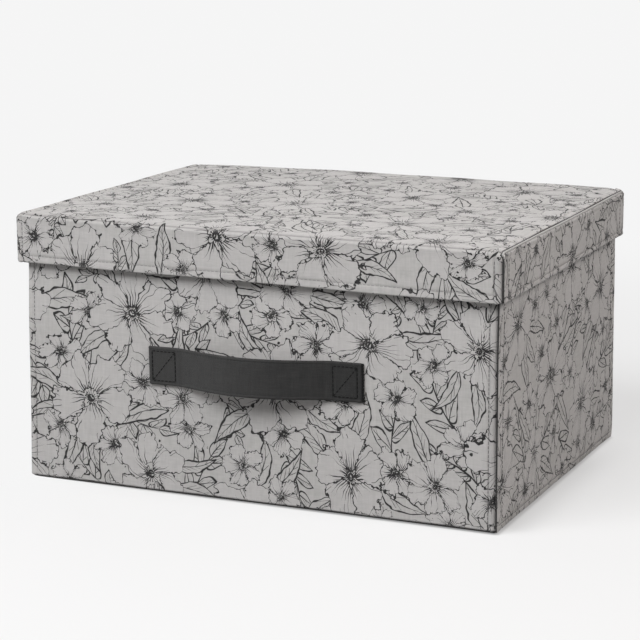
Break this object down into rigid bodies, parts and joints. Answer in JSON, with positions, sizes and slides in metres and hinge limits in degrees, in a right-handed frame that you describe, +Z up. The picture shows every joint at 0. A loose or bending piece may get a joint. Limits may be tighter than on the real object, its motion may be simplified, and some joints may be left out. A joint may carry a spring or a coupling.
{
  "type": "clothes storage box",
  "caption": "Rectangular storage box of board panels in sewn fabric covers with a line-drawn flower print, a lift-off lid with a deep rim, a loose base insert and a sewn strap handle.",
  "frame": {"origin": "centre of the box's footprint, on the surface that it stands on", "axes": "+X to the right seen from the front, -Y out of the front panel that carries the handle, +Z up"},
  "size_m": [0.41, 0.3223, 0.217],
  "materials": {
    "cover_fabric": "matte linen-look fabric with a dark line-drawn flower print",
    "lining_fabric": "matte plain non-woven",
    "board": "matte grey board",
    "seam_fabric": "matte folded fabric edge",
    "strap_fabric": "matte charcoal webbing",
    "thread": "matte sewing thread"
  },
  "bodies": {
    "box_body": {"front_cover": "cover_fabric", "front_lining": "lining_fabric", "front_board": "board", "front_base_seam": "seam_fabric", "right_cover": "cover_fabric", "right_lining": "lining_fabric", "right_board": "board", "right_base_seam": "seam_fabric", "back_cover": "cover_fabric", "back_lining": "lining_fabric", "back_board": "board", "back_base_seam": "seam_fabric", "left_cover": "cover_fabric", "left_lining": "lining_fabric", "left_board": "board", "left_base_seam": "seam_fabric", "front_right_corner_seam": "seam_fabric", "back_right_corner_seam": "seam_fabric", "back_left_corner_seam": "seam_fabric", "front_left_corner_seam": "seam_fabric", "bottom_cover": "cover_fabric", "bottom_board": "board", "bottom_lining": "lining_fabric", "handle_left_tab": "strap_fabric", "handle_left_stitching": "thread", "handle_left_backing": "lining_fabric", "handle_right_tab": "strap_fabric", "handle_right_stitching": "thread", "handle_right_backing": "lining_fabric"},
    "handle": {"handle_grip": "strap_fabric"},
    "base_insert": {"insert_sleeve": "lining_fabric", "insert_board": "board"},
    "lid": {"lid_cover": "cover_fabric", "lid_top_board": "board", "lid_top_lining": "lining_fabric", "lid_front_board": "board", "lid_front_lining": "lining_fabric", "lid_right_board": "board", "lid_right_lining": "lining_fabric", "lid_right_cover": "cover_fabric", "lid_right_seam": "seam_fabric", "lid_back_board": "board", "lid_back_lining": "lining_fabric", "lid_left_board": "board", "lid_left_lining": "lining_fabric", "lid_left_cover": "cover_fabric", "lid_left_seam": "seam_fabric"}
  },
  "joints": [
    {"name": "lid_lift", "type": "slide", "parent": "box_body", "child": "lid", "axis": [0, 0, 1], "range_m": [0, 0.15]},
    {"name": "insert_lift", "type": "slide", "parent": "box_body", "child": "base_insert", "axis": [0, 0, 1], "range_m": [0, 0.18]},
    {"name": "handle_swing", "type": "hinge", "parent": "box_body", "child": "handle", "pos_m": [0, -0.15, 0.121], "axis": [-1, 0, 0], "range_deg": [0, 60]}
  ]
}
